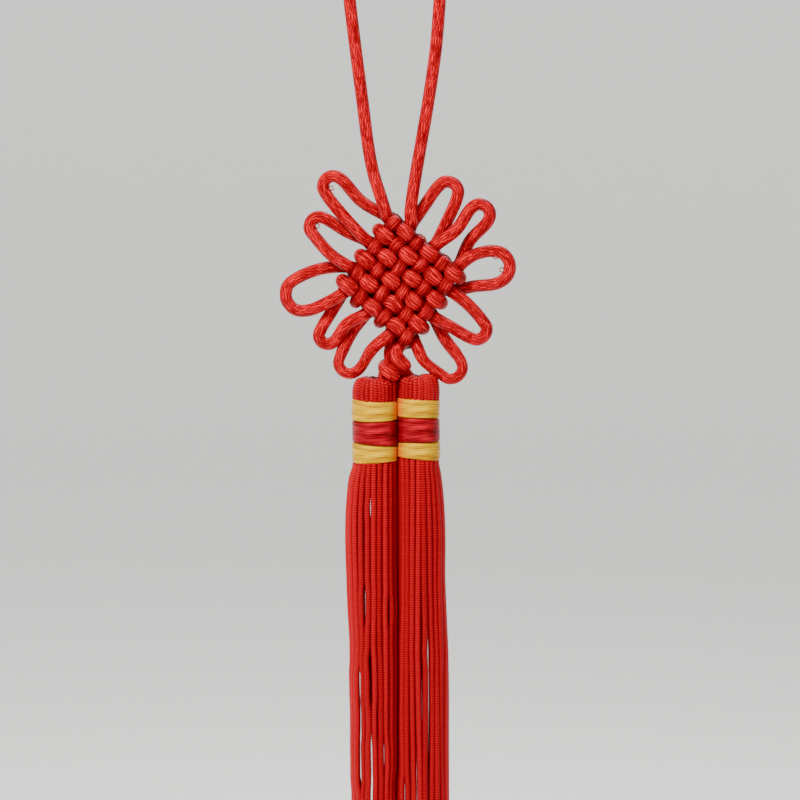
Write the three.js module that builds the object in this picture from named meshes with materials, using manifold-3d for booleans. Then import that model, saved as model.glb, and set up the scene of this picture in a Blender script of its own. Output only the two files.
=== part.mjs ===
// Chinese knot tassel: a hanging loop, a double-layer mystic knot with ten ears, and two bound tassels.
// Millimetres, +Z up, front towards -Y. The origin is the cord's underside at the top of the hanging loop.
import * as THREE from 'three';
import * as BufferGeometryUtils from 'three/addons/utils/BufferGeometryUtils.js';
import Module from 'manifold-3d';

const wasm = await Module();
wasm.setup();

// Cord
const CORD_RADIUS = 1.25;
const CORD_SIDES = 8;
const PIECE_GAP = 0.3;
const SHORTEST_EDGE = 0.03;
const THINNEST_FACE = 0.02;
const NEEDLE_PASSES = 8;

// Woven body: six "/" lines (a = 1 to 6) and six "\" lines (b = 1 to 6) on a lattice in the XZ plane
const LINES = 6;
const BODY_CENTRE = { x: 1.0, z: -87.8 };
const STEP_A = { x: 2.38, z: -2.0 };
const STEP_B = { x: -1.82, z: -2.52 };
const LINE_PITCH = 3.11;
const FIRST_EDGE = 0.5;
const LAST_EDGE = LINES + 0.5;
const CELL_DIVISIONS = 4;
const STRAND_MIDDLE_DEPTH = 2.05;
const STRAND_SWING = 0.95;
const FLOOR_DEPTH = 1.5;
const EDGE_DROP = 0.8;
const RIM_DEPTH = 1.25;
const RIM_BULGE = 0.85;
const CORNER_ROUNDING = 0.55;
const INNER_LAYER_DEPTH = 1.45;
const LEG_DEPTH_SHARE = 0.8;

// How the strands of each direction lie: the "\" strands show longer and prouder crossings than the "/" ones
const STRANDS = [
  { along: 'a', across: 'b', parity: 1, halfWidth: 1.5, height: 1.25 },
  { along: 'b', across: 'a', parity: 0, halfWidth: 1.35, height: 0.9 },
];

// Ears: the two line ends that each one joins (strands, line, end), the centre and radius of its tip circle,
// how far each leg bows outwards, and the layer that each leg lies on (1 is the back)
const EAR_COLUMNS = ['from', 'to', 'tipX', 'tipZ', 'tipRadius', 'bowFrom', 'bowTo', 'fromLayer', 'toLayer'];
const EARS = [
  [['b', 1, 'first'], ['b', 3, 'first'], -12.4, -69.4, 2.1, -0.9, 0.3, 1, -1],
  [['b', 3, 'first'], ['b', 5, 'first'], -15.2, -77.4, 2.0, -0.3, 0.6, 1, -1],
  [['b', 5, 'first'], ['a', 1, 'last'], -18.6, -90.8, 3.4, 0.9, 0.3, 1, -1],
  [['a', 1, 'last'], ['a', 3, 'last'], -13.6, -99.0, 1.8, 0.0, -1.0, 1, -1],
  [['a', 3, 'last'], ['a', 5, 'last'], -9.2, -104.4, 2.3, 0.5, -0.7, 1, -1],
  [['a', 2, 'first'], ['a', 4, 'first'], 10.2, -70.6, 2.2, 0.0, 0.2, 1, 1],
  [['a', 4, 'first'], ['a', 6, 'first'], 16.6, -75.0, 2.1, -0.8, -0.8, -1, 1],
  [['a', 6, 'first'], ['b', 2, 'last'], 19.4, -85.4, 3.3, 0.7, 0.0, -1, 1],
  [['b', 2, 'last'], ['b', 4, 'last'], 16.0, -97.8, 2.1, 0.4, 0.0, -1, -1],
  [['b', 4, 'last'], ['b', 6, 'last'], 10.8, -105.2, 2.2, -0.4, 1.2, 1, -1],
].map((row) => Object.fromEntries(row.map((value, i) => [EAR_COLUMNS[i], value])));
const LEG_INSET = 0.6;
const EAR_STEPS = 15;
const TIP_ANGLES = [90, 45, 0, -45, -90];

// Hanging loop, left strand first, as points along its centre line
const HANGING_ROUTE = [
  [-2.68, -1.15, -72.42], [-3.3, -0.9, -70.5], [-4.4, -0.5, -67.0], [-5.4, -0.1, -62.0], [-6.7, 0.0, -52.0],
  [-8.0, 0.0, -42.0], [-9.2, 0.0, -32.0], [-9.9, 0.0, -23.0], [-9.7, 0.0, -14.0], [-7.4, 0.0, -5.4],
  [-4.2, 0.0, -0.5], [0.0, 0.0, 1.25], [4.2, 0.0, -0.5], [7.4, 0.0, -5.4], [9.3, 0.0, -14.0],
  [9.3, 0.0, -24.0], [8.7, 0.0, -32.0], [7.9, 0.0, -42.0], [6.5, 0.0, -52.0], [4.8, 0.0, -62.0],
  [3.6, -0.7, -69.0], [3.03, -1.13, -72.9],
];
const HANGING_STEPS = 34;

// Short lengths between the body and the hanging loop, the stems below it, and the neck knot's crossings
const LEFT_STUB = [[-0.4, -1.45, -77.2], [-1.4, -1.45, -75.6], [-2.1, -1.35, -74.2], [-2.53, -1.2, -72.88]];
const RIGHT_STUB = [[2.4, -1.45, -79.0], [2.6, -1.45, -77.2], [2.76, -1.35, -75.2], [2.95, -1.2, -73.4]];
const STUB_STEPS = 3;
const LEFT_STEM = [
  [-0.6, 1.45, -96.8], [-0.9, 1.45, -99.0], [-1.2, 1.0, -101.2], [-1.8, 0.3, -103.3], [-2.8, 0.0, -105.1],
  [-3.2, 0.0, -107.1],
];
const RIGHT_STEM = [
  [2.3, 1.4, -98.0], [2.2, 1.35, -100.0], [1.9, 0.9, -102.1], [1.7, 0.25, -103.7], [2.4, 0.0, -105.0],
  [2.9, 0.0, -106.5],
];
const STEM_STEPS = 7;
const NECK_CROSSINGS = [
  { x: 0.6, y: -1.2, z: -104.2, halfWidth: 1.8, halfHeight: 1.4, tilt: 30 },
  { x: -1.4, y: -1.1, z: -105.9, halfWidth: 1.6, halfHeight: 1.35, tilt: -40 },
  { x: -0.6, y: 1.2, z: -104.4, halfWidth: 1.8, halfHeight: 1.4, tilt: -30 },
  { x: 1.0, y: 1.1, z: -105.6, halfWidth: 1.6, halfHeight: 1.35, tilt: 40 },
];
const CROSSING_DEPTH = 1.3;
const CROSSING_SEGMENTS = 10;
const CROSSING_ROWS = 7;

// Tassels: the axis, the head, the three bindings, and how far the skirt spreads to each side
const TASSELS = [
  {
    name: 'left', axisX: -4.2, headTop: -107.75, headBottom: -111.7, headRadius: 4.35,
    bindings: [[-112.0, -115.85], [-116.15, -120.6], [-120.9, -124.2]],
    spreadMinusX: 5.55, spreadPlusX: 3.7,
  },
  {
    name: 'right', axisX: 4.5, headTop: -107.15, headBottom: -111.4, headRadius: 4.05,
    bindings: [[-111.7, -115.2], [-115.5, -120.1], [-120.4, -123.5]],
    spreadMinusX: 3.55, spreadPlusX: 5.5,
  },
];
// Head: its outline as shares of the head's radius and height, and the flutes between its folded cords
const HEAD_OUTLINE = [
  { reach: 0.0, drop: 0.06 },
  { reach: 0.45, drop: 0.0 },
  { reach: 0.8, drop: 0.22 },
  { reach: 1.0, drop: 0.55 },
  { reach: 0.99, drop: 0.85 },
];
const FLUTES = 17;
const FLUTE_SHARE = 0.11;

// Neck inside the bindings, the bindings' rings, and the backing that the strands' roots are fused into
const NECK_INSET = 0.75;
const BINDING_SEGMENTS = 24;
const BINDING_CROWN = 0.12;
const BINDING_EDGE = 0.35;
const ROOT_INSET = 0.05;
const ROOT_THICKNESS = 1.2;

// Skirt strands: rings of roots, as shares of the head's radius and of the skirt's full spread, and the levels
// that each strand passes below the backing, with how much of the spread it has there
const STRAND_RINGS = [
  { count: 7, rootShare: 0.46, spreadShare: 0.53 },
  { count: 20, rootShare: 0.86, spreadShare: 1.0 },
];
const STRAND_SIDES = 4;
const STRAND_RADIUS = 0.45;
const SKIRT_DEPTH = 4.2;
const SKIRT_LEVELS = [
  { drop: -0.4, spread: 0.0, wave: 0.0 },
  { drop: 0.1, spread: 0.0, wave: 0.0 },
  { drop: 4.0, spread: 0.85, wave: 0.03 },
  { drop: 14.0, spread: 1.0, wave: 0.05 },
  { drop: 42.0, spread: 0.97, wave: 0.08 },
  { drop: 75.0, spread: 1.0, wave: 0.08 },
  { drop: 109.2, spread: 1.0, wave: 0.08 },
];
const END_SCATTER = 1.5;
const STRAND_PHASE = 2.4;
const LEVEL_PHASE = 1.7;

const CORD_RED = new THREE.MeshStandardMaterial({ color: 0xd81610, roughness: 0.45, metalness: 0 });
const TASSEL_RED = new THREE.MeshStandardMaterial({ color: 0xc80a0c, roughness: 0.6, metalness: 0 });
const THREAD_YELLOW = new THREE.MeshStandardMaterial({ color: 0xf6c846, roughness: 0.4, metalness: 0 });
const THREAD_RED = new THREE.MeshStandardMaterial({ color: 0xbe1020, roughness: 0.35, metalness: 0 });

// Geometry to solid and back
function toSolid(geometry) {
  const bare = new THREE.BufferGeometry();
  bare.setAttribute('position', geometry.getAttribute('position'));
  bare.setIndex(geometry.getIndex());
  const merged = BufferGeometryUtils.mergeVertices(bare, 1e-4);
  const corners = merged.getIndex().array;
  const triangles = [];
  for (let i = 0; i < corners.length; i += 3) {
    const [p, q, r] = [corners[i], corners[i + 1], corners[i + 2]];
    if (p !== q && q !== r && r !== p) {
      triangles.push(p, q, r);
    }
  }
  return new wasm.Manifold(new wasm.Mesh({
    numProp: 3,
    vertProperties: new Float32Array(merged.getAttribute('position').array),
    triVerts: new Uint32Array(triangles),
  }));
}

function toGeometry(solid) {
  const mesh = solid.getMesh();
  const geometry = new THREE.BufferGeometry();
  geometry.setAttribute('position', new THREE.BufferAttribute(new Float32Array(mesh.vertProperties), 3));
  geometry.setIndex(new THREE.BufferAttribute(new Uint32Array(mesh.triVerts), 1));
  geometry.computeVertexNormals();
  return geometry;
}

function joinSolids(geometries) {
  return weldCloseVertices(toGeometry(geometries.map(toSolid).reduce((whole, piece) => whole.add(piece))));
}

// Makes one vertex of those closer together than the shortest edge, and drops the faces that this closes up
function weldCloseVertices(geometry) {
  const position = geometry.getAttribute('position');
  const kept = [];
  const keptIndex = [];
  for (let i = 0; i < position.count; i += 1) {
    const point = new THREE.Vector3().fromBufferAttribute(position, i);
    const match = kept.findIndex((other) => other.distanceTo(point) < SHORTEST_EDGE);
    keptIndex.push(match < 0 ? kept.push(point) - 1 : match);
  }
  const faces = new Map();
  const corners = geometry.getIndex().array;
  for (let i = 0; i < corners.length; i += 3) {
    const face = [keptIndex[corners[i]], keptIndex[corners[i + 1]], keptIndex[corners[i + 2]]];
    const key = [...face].sort((p, q) => p - q).join();
    if (new Set(face).size < 3 || faces.delete(key)) {
      continue;
    }
    faces.set(key, face);
  }
  return indexedGeometry(kept, turnNeedles(kept, [...faces.values()]).flat());
}

function faceHeight(points, [p, q, r]) {
  const corners = [points[p], points[q], points[r]];
  const triangle = new THREE.Triangle(...corners);
  const sides = corners.map((corner, i) => corner.distanceTo(corners[(i + 1) % 3]));
  return (2 * triangle.getArea()) / Math.max(...sides);
}

// Where a face is as thin as a needle, turns the long edge that it shares, so that both faces there are wider
function turnNeedles(points, faces) {
  const faceAt = new Map();
  const setEdges = (face, index) => face.forEach((p, i) => faceAt.set(`${p},${face[(i + 1) % 3]}`, index));
  const freeEdges = (face) => face.forEach((p, i) => faceAt.delete(`${p},${face[(i + 1) % 3]}`));
  faces.forEach(setEdges);
  let turned = true;
  for (let pass = 0; turned && pass < NEEDLE_PASSES; pass += 1) {
    turned = false;
    faces.forEach((face, index) => {
      const height = faceHeight(points, face);
      if (height > THINNEST_FACE) {
        return;
      }
      const lengths = face.map((p, i) => points[p].distanceTo(points[face[(i + 1) % 3]]));
      const longest = lengths.indexOf(Math.max(...lengths));
      const [p, q, tip] = [face[longest], face[(longest + 1) % 3], face[(longest + 2) % 3]];
      const otherIndex = faceAt.get(`${q},${p}`);
      const other = faces[otherIndex];
      const far = other.find((corner) => corner !== p && corner !== q);
      const [first, second] = [[tip, p, far], [far, q, tip]];
      const better = Math.min(faceHeight(points, first), faceHeight(points, second)) > height;
      if (better && !faceAt.has(`${tip},${far}`) && !faceAt.has(`${far},${tip}`)) {
        freeEdges(face);
        freeEdges(other);
        faces[index] = first;
        faces[otherIndex] = second;
        setEdges(first, index);
        setEdges(second, otherIndex);
        turned = true;
      }
    });
  }
  return faces;
}

function circleShape(radius, sides) {
  const points = [];
  for (let i = 0; i < sides; i += 1) {
    const angle = (2 * Math.PI * i) / sides;
    points.push(new THREE.Vector2(radius * Math.cos(angle), radius * Math.sin(angle)));
  }
  return new THREE.Shape(points);
}

function cordAlong(points, steps) {
  const path = new THREE.CatmullRomCurve3(points.map((p) => new THREE.Vector3(...p)), false, 'centripetal');
  return new THREE.ExtrudeGeometry(circleShape(CORD_RADIUS, CORD_SIDES), { steps, extrudePath: path });
}

// Woven body: a sheet of raised crossings on each face, closed by a scalloped rim
function latticePoint(a, b, y) {
  const middle = (LINES + 1) / 2;
  return new THREE.Vector3(
    BODY_CENTRE.x + (a - middle) * STEP_A.x + (b - middle) * STEP_B.x,
    y,
    BODY_CENTRE.z + (a - middle) * STEP_A.z + (b - middle) * STEP_B.z,
  );
}

function pastEnd(position) {
  return Math.max(0, 1 - position, position - LINES) / (1 - FIRST_EDGE);
}

function faceDepth(a, b) {
  const place = { a, b };
  let depth = FLOOR_DEPTH;
  for (const strand of STRANDS) {
    const along = place[strand.along];
    const across = place[strand.across];
    const line = Math.min(LINES, Math.max(1, Math.round(across)));
    const offset = ((across - line) * LINE_PITCH) / strand.halfWidth;
    const swing = STRAND_SWING * Math.cos(Math.PI * (along - line - strand.parity));
    const crown = strand.height * Math.sqrt(Math.max(0, 1 - offset * offset));
    depth = Math.max(depth, STRAND_MIDDLE_DEPTH + swing + crown);
  }
  return depth - EDGE_DROP * (pastEnd(a) ** 2 + pastEnd(b) ** 2);
}

function bodyGeometry() {
  const count = LINES * CELL_DIVISIONS;
  const at = (k) => FIRST_EDGE + k / CELL_DIVISIONS;
  const points = [];
  const faces = [];
  const addPoint = (point) => points.push(point) - 1;
  const addQuad = (p, q, r, s) => faces.push(p, q, r, p, r, s);

  const sheets = [-1, 1].map((side) => {
    const rows = [];
    for (let i = 0; i <= count; i += 1) {
      const row = [];
      for (let j = 0; j <= count; j += 1) {
        row.push(addPoint(latticePoint(at(i), at(j), side * faceDepth(at(i), at(j)))));
      }
      rows.push(row);
    }
    return rows;
  });
  for (let i = 0; i < count; i += 1) {
    for (let j = 0; j < count; j += 1) {
      const [front, back] = sheets;
      addQuad(front[i][j], front[i][j + 1], front[i + 1][j + 1], front[i + 1][j]);
      addQuad(back[i][j], back[i + 1][j], back[i + 1][j + 1], back[i][j + 1]);
    }
  }

  const border = [];
  for (let k = 0; k < count; k += 1) {
    border.push([k, 0]);
  }
  for (let k = 0; k < count; k += 1) {
    border.push([count, k]);
  }
  for (let k = count; k > 0; k -= 1) {
    border.push([k, count]);
  }
  for (let k = count; k > 0; k -= 1) {
    border.push([0, k]);
  }
  const middle = latticePoint((LINES + 1) / 2, (LINES + 1) / 2, 0);
  const rimPoint = ([i, j], y) => {
    const onSide = i === 0 || i === count ? j : i;
    const isCorner = i % count === 0 && j % count === 0;
    const scallop = Math.abs(Math.sin((Math.PI * onSide) / CELL_DIVISIONS));
    const bulge = isCorner ? -CORNER_ROUNDING : RIM_BULGE * scallop;
    const point = latticePoint(at(i), at(j), 0);
    const outward = point.clone().sub(middle).normalize();
    point.addScaledVector(outward, bulge);
    point.y = y;
    return addPoint(point);
  };
  const rings = [
    border.map(([i, j]) => sheets[0][i][j]),
    border.map((place) => rimPoint(place, -RIM_DEPTH)),
    border.map((place) => rimPoint(place, RIM_DEPTH)),
    border.map(([i, j]) => sheets[1][i][j]),
  ];
  for (let ring = 0; ring + 1 < rings.length; ring += 1) {
    for (let k = 0; k < border.length; k += 1) {
      const next = (k + 1) % border.length;
      addQuad(rings[ring][k], rings[ring][next], rings[ring + 1][next], rings[ring + 1][k]);
    }
  }
  return indexedGeometry(points, faces);
}

function indexedGeometry(points, faces) {
  const geometry = new THREE.BufferGeometry();
  geometry.setAttribute('position', new THREE.Float32BufferAttribute(points.flatMap((p) => p.toArray()), 3));
  geometry.setIndex(faces);
  return geometry;
}

// Ears
function lineEnd([direction, line, end], inset, y) {
  const along = end === 'first' ? FIRST_EDGE + inset : LAST_EDGE - inset;
  return direction === 'b' ? latticePoint(along, line, y) : latticePoint(line, along, y);
}

function earRoute(ear) {
  const fromExit = lineEnd(ear.from, 0, ear.fromLayer * INNER_LAYER_DEPTH);
  const toExit = lineEnd(ear.to, 0, ear.toLayer * INNER_LAYER_DEPTH);
  const tip = new THREE.Vector3(ear.tipX, 0, ear.tipZ);
  const base = fromExit.clone().add(toExit).multiplyScalar(0.5).setY(0);
  const axis = tip.clone().sub(base).normalize();
  const side = new THREE.Vector3(axis.z, 0, -axis.x);
  if (side.dot(fromExit.clone().sub(base)) < 0) {
    side.negate();
  }
  const tipPoints = TIP_ANGLES.map((degrees) => {
    const angle = THREE.MathUtils.degToRad(degrees);
    return tip.clone()
      .addScaledVector(axis, ear.tipRadius * Math.cos(angle))
      .addScaledVector(side, ear.tipRadius * Math.sin(angle));
  });
  const legMiddle = (exit, shoulder, bow) => exit.clone().lerp(shoulder, 0.5).addScaledVector(side, bow)
    .setY(exit.y * LEG_DEPTH_SHARE);
  return [
    lineEnd(ear.from, LEG_INSET, ear.fromLayer * INNER_LAYER_DEPTH),
    fromExit,
    legMiddle(fromExit, tipPoints[0], ear.bowFrom),
    ...tipPoints,
    legMiddle(toExit, tipPoints[tipPoints.length - 1], -ear.bowTo),
    toExit,
    lineEnd(ear.to, LEG_INSET, ear.toLayer * INNER_LAYER_DEPTH),
  ].map((p) => p.toArray());
}

function neckCrossing(crossing) {
  const geometry = new THREE.SphereGeometry(1, CROSSING_SEGMENTS, CROSSING_ROWS);
  geometry.scale(crossing.halfWidth, CROSSING_DEPTH, crossing.halfHeight);
  geometry.rotateY(THREE.MathUtils.degToRad(crossing.tilt));
  geometry.translate(crossing.x, crossing.y, crossing.z);
  return geometry;
}

function knotGeometry() {
  return joinSolids([
    bodyGeometry(),
    ...EARS.map((ear) => cordAlong(earRoute(ear), EAR_STEPS)),
    cordAlong(LEFT_STUB, STUB_STEPS),
    cordAlong(RIGHT_STUB, STUB_STEPS),
    cordAlong(LEFT_STEM, STEM_STEPS),
    cordAlong(RIGHT_STEM, STEM_STEPS),
    ...NECK_CROSSINGS.map(neckCrossing),
  ]);
}

// Tassels
function headAndNeck(tassel) {
  const neckRadius = tassel.headRadius - NECK_INSET;
  const rootRadius = tassel.headRadius - ROOT_INSET;
  const rootTop = tassel.bindings[2][1] - PIECE_GAP;
  const height = tassel.headTop - tassel.headBottom;
  const profile = [
    ...HEAD_OUTLINE.map(({ reach, drop }) => [tassel.headRadius * reach, tassel.headTop - height * drop]),
    [neckRadius, tassel.headBottom],
    [neckRadius, rootTop],
    [rootRadius, rootTop],
    [rootRadius, rootTop - ROOT_THICKNESS],
    [0, rootTop - ROOT_THICKNESS],
  ].reverse().map(([radius, z]) => new THREE.Vector2(radius, z));
  const geometry = new THREE.LatheGeometry(profile, FLUTES * 2);
  const position = geometry.getAttribute('position');
  for (let i = 0; i < position.count; i += 1) {
    const x = position.getX(i);
    const z = position.getZ(i);
    const flute = Math.round((Math.atan2(x, z) * FLUTES) / Math.PI);
    if (position.getY(i) > tassel.headBottom && flute % 2 !== 0) {
      position.setX(i, x * (1 - FLUTE_SHARE));
      position.setZ(i, z * (1 - FLUTE_SHARE));
    }
  }
  geometry.rotateX(Math.PI / 2);
  geometry.translate(tassel.axisX, 0, 0);
  return geometry;
}

function strandGeometry(tassel, ring, angle, index) {
  const backingBottom = tassel.bindings[2][1] - PIECE_GAP - ROOT_THICKNESS;
  const rootRadius = ring.rootShare * tassel.headRadius;
  const direction = { x: Math.cos(angle), y: Math.sin(angle) };
  const fullX = direction.x < 0 ? tassel.spreadMinusX : tassel.spreadPlusX;
  const points = [];
  const faces = [];
  SKIRT_LEVELS.forEach((level, row) => {
    const isEnd = row === SKIRT_LEVELS.length - 1;
    const drop = level.drop + (isEnd ? END_SCATTER * Math.sin(index * STRAND_PHASE) : 0);
    const reachX = THREE.MathUtils.lerp(rootRadius, ring.spreadShare * fullX, level.spread);
    const reachY = THREE.MathUtils.lerp(rootRadius, ring.spreadShare * SKIRT_DEPTH, level.spread);
    const phase = index * STRAND_PHASE + row * LEVEL_PHASE;
    const x = tassel.axisX + direction.x * reachX + level.wave * Math.sin(phase);
    const y = direction.y * reachY + level.wave * Math.cos(phase);
    for (let side = 0; side < STRAND_SIDES; side += 1) {
      const turn = angle + (2 * Math.PI * side) / STRAND_SIDES;
      points.push(new THREE.Vector3(
        x + STRAND_RADIUS * Math.cos(turn),
        y + STRAND_RADIUS * Math.sin(turn),
        backingBottom - drop,
      ));
    }
  });
  for (let row = 0; row + 1 < SKIRT_LEVELS.length; row += 1) {
    for (let side = 0; side < STRAND_SIDES; side += 1) {
      const next = (side + 1) % STRAND_SIDES;
      const [p, q] = [row * STRAND_SIDES + side, row * STRAND_SIDES + next];
      faces.push(p, p + STRAND_SIDES, q, q, p + STRAND_SIDES, q + STRAND_SIDES);
    }
  }
  const last = points.length - STRAND_SIDES;
  for (let side = 1; side + 1 < STRAND_SIDES; side += 1) {
    faces.push(0, side, side + 1);
    faces.push(last, last + side + 1, last + side);
  }
  return indexedGeometry(points, faces);
}

function tasselGeometry(tassel) {
  const strands = [];
  for (const ring of STRAND_RINGS) {
    for (let i = 0; i < ring.count; i += 1) {
      const angle = (2 * Math.PI * (i + 0.5)) / ring.count;
      strands.push(strandGeometry(tassel, ring, angle, strands.length));
    }
  }
  return joinSolids([headAndNeck(tassel), ...strands]);
}

function bindingGeometry(tassel, [top, bottom]) {
  const outer = tassel.headRadius;
  const inner = (tassel.headRadius - NECK_INSET + PIECE_GAP) / Math.cos(Math.PI / BINDING_SEGMENTS);
  const profile = [
    [inner, bottom],
    [outer - BINDING_CROWN, bottom],
    [outer, bottom + BINDING_EDGE],
    [outer, top - BINDING_EDGE],
    [outer - BINDING_CROWN, top],
    [inner, top],
    [inner, bottom],
  ].map(([radius, z]) => new THREE.Vector2(radius, z));
  const geometry = new THREE.LatheGeometry(profile, BINDING_SEGMENTS);
  geometry.rotateX(Math.PI / 2);
  geometry.translate(tassel.axisX, 0, 0);
  return toGeometry(toSolid(geometry));
}

function namedMesh(name, geometry, material) {
  const mesh = new THREE.Mesh(geometry, material);
  mesh.name = name;
  return mesh;
}

const ornament = new THREE.Group();
ornament.add(namedMesh('hanging_cord', cordAlong(HANGING_ROUTE, HANGING_STEPS), CORD_RED));
ornament.add(namedMesh('knot', knotGeometry(), CORD_RED));
for (const tassel of TASSELS) {
  const group = new THREE.Group();
  group.add(namedMesh(`tassel_${tassel.name}`, tasselGeometry(tassel), TASSEL_RED));
  const places = ['upper', 'middle', 'lower'];
  places.forEach((place, i) => {
    const material = place === 'middle' ? THREAD_RED : THREAD_YELLOW;
    const geometry = bindingGeometry(tassel, tassel.bindings[i]);
    group.add(namedMesh(`binding_${tassel.name}_${place}`, geometry, material));
  });
  ornament.add(group);
}

export default ornament;
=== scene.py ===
"""The looks of a chinese knot tassel: braided satin cord, wound thread and ribbed tassel cords.

Sizes are written in millimetres, and MM turns them into the scene's metres. The front of the knot faces -Y.
"""

import math

import bpy
import numpy as np
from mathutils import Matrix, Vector


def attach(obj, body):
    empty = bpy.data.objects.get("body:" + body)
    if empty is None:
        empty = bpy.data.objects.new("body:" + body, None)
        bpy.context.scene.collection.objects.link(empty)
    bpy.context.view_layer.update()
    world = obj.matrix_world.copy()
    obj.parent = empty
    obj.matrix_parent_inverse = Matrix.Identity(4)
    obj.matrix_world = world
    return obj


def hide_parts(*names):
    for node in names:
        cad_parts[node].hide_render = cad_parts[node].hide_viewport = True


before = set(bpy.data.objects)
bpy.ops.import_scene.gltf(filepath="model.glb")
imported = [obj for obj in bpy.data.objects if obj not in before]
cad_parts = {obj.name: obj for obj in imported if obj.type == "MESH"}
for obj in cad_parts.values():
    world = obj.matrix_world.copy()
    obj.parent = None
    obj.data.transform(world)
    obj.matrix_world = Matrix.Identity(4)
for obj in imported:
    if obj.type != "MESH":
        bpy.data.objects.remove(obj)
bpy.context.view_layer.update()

MM = 0.001
SAMPLES_PER_SPAN = 24
rng = np.random.default_rng(7)

# Camera: the photo's frame is 800 pixels wide and high, at 0.2 mm for each pixel of the object
PHOTO_PIXELS = 800
MM_PER_PIXEL = 0.2
CAMERA_AIM = (0.8, 0.0, -112.0)
CAMERA_DISTANCE = 600.0
CAMERA_ELEVATION = 6.0
SENSOR_WIDTH = 36.0
CLIP_START_M = 0.01

# Cord
CORD_DIAMETER = 2.5
CORD_SIDES = 20
CORD_STEP = 0.42

# Woven body, the same lattice as the solid: "/" lines are a = 1 to 6 and "\" lines are b = 1 to 6
LINES = 6
BODY_CENTRE = np.array([1.0, -87.8])
STEP_A = np.array([2.38, -2.0])
STEP_B = np.array([-1.82, -2.52])
FIRST_EDGE = 0.5
LAST_EDGE = LINES + 0.5
INNER_DEPTH = 1.0
OUTER_DEPTH = {"b": 3.0, "a": 2.7}
PARITY = {"b": 1, "a": 0}
TURN_REACH = {("a", 1): 0.12, ("a", LINES): 0.5, ("b", 1): 0.5, ("b", LINES): 0.5}
BUMP_SWELL = {"b": 1.2, "a": 1.02}
DIP_SWELL = 1.3
BODY_FLATTEN = 0.92
SWELL_HEIGHTS = [0.0, 0.5, 0.8, 1.0]
SWELL_SHARES = [DIP_SWELL, 0.97, 0.95, 1.0]
# Painted shade where the cord dips under in the body: how much darker, and how it fades towards the tops
DIP_SHADE = 0.6
DIP_SHADE_POWER = 0.6
TURN_STEEPNESS = 0.78
TURN_STEEPNESS_RANGE = 0.15
TURN_DEGREES = (35, 90, 145)
MIDDLE_DEPTH = 0.95
MIDDLE_REACH = 0.05
MIDDLE_SQUARENESS = 0.3
# Painted shade on the inside of the body
MIDDLE_SHADE = 0.75
HAND_SHIFT = 0.3
EXIT_DEPTH = 1.35
LEG_DEPTH_SHARE = 0.8

# Ears: the line ends that each one joins, its tip circle, how far each leg bows out, and each leg's layer
EAR_COLUMNS = (
    "start", "end", "tip_x", "tip_z", "tip_radius", "bow_start", "bow_end", "start_layer", "end_layer",
)
LEFT_EARS = [
    (("b", 1, "first"), ("b", 3, "first"), -12.4, -69.4, 2.1, -0.9, 0.3, 1, -1),
    (("b", 3, "first"), ("b", 5, "first"), -15.2, -77.4, 2.0, -0.3, 0.6, 1, -1),
    (("b", 5, "first"), ("a", 1, "last"), -18.6, -90.8, 3.4, 0.9, 0.3, 1, -1),
    (("a", 1, "last"), ("a", 3, "last"), -13.6, -99.0, 1.8, 0.0, -1.0, 1, -1),
    (("a", 3, "last"), ("a", 5, "last"), -9.2, -104.4, 2.3, 0.5, -0.7, 1, -1),
]
RIGHT_EARS = [
    (("a", 2, "first"), ("a", 4, "first"), 10.2, -70.6, 2.2, 0.0, 0.2, 1, 1),
    (("a", 4, "first"), ("a", 6, "first"), 16.6, -75.0, 2.1, -0.8, -0.8, -1, 1),
    (("a", 6, "first"), ("b", 2, "last"), 19.4, -85.4, 3.3, 0.7, 0.0, -1, 1),
    (("b", 2, "last"), ("b", 4, "last"), 16.0, -97.8, 2.1, 0.4, 0.0, -1, -1),
    (("b", 4, "last"), ("b", 6, "last"), 10.9, -105.4, 2.4, -0.4, 0.9, 1, -1),
]
TIP_ANGLES = (90, 45, 0, -45, -90)

# Hanging loop, left strand first, the route of the solid
HANGING_ROUTE = [
    (-2.68, -1.15, -72.42), (-3.3, -0.9, -70.5), (-4.4, -0.5, -67.0), (-5.4, -0.1, -62.0), (-6.7, 0.0, -52.0),
    (-8.0, 0.0, -42.0), (-9.2, 0.0, -32.0), (-9.9, 0.0, -23.0), (-9.7, 0.0, -14.0), (-7.4, 0.0, -5.4),
    (-4.2, 0.0, -0.5), (0.0, 0.0, 1.25), (4.2, 0.0, -0.5), (7.4, 0.0, -5.4), (9.3, 0.0, -14.0),
    (9.3, 0.0, -24.0), (8.7, 0.0, -32.0), (7.9, 0.0, -42.0), (6.5, 0.0, -52.0), (4.8, 0.0, -62.0),
    (3.6, -0.7, -69.0), (3.03, -1.13, -72.9),
]

# Where the two cords come in above the body
LEFT_ENTRY = [(-2.64, -1.17, -72.52), (-2.2, -1.32, -73.9)]
RIGHT_ENTRY = [(3.02, -1.14, -73.0), (2.86, -1.3, -74.6)]

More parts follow.
